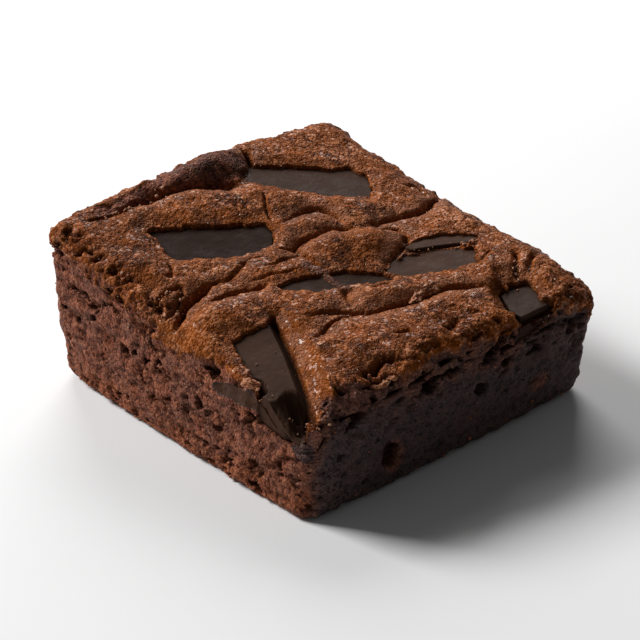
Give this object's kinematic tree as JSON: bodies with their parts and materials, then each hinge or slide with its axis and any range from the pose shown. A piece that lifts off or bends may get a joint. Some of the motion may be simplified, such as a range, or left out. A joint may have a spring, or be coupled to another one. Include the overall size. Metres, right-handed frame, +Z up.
{
  "type": "chocolate brownie",
  "caption": "Square chocolate brownie with a folded, cracked crust, porous cut sides and slabs of dark chocolate sunk in its top.",
  "frame": {"origin": "centre of the flat base, on the surface the brownie stands on", "axes": "+Z up; the sides lie along X and Y; the highest edge is on the -X side and the knife-cut slabs show at the -Y and +X sides"},
  "size_m": [0.0708, 0.0706, 0.0347],
  "materials": {
    "baked_cake": "baked chocolate cake: granular brown crust on top, darker porous crumb at the sides",
    "dark_chocolate": "satin dark chocolate, slightly greyed by baking"
  },
  "bodies": {
    "root": {"brownie_body": "baked_cake", "chunk_back": "dark_chocolate", "chunk_left": "dark_chocolate", "chunk_centre": "dark_chocolate", "chunk_right": "dark_chocolate", "chunk_right_chip": "dark_chocolate", "chunk_front": "dark_chocolate", "chunk_edge": "dark_chocolate"}
  },
  "joints": []
}
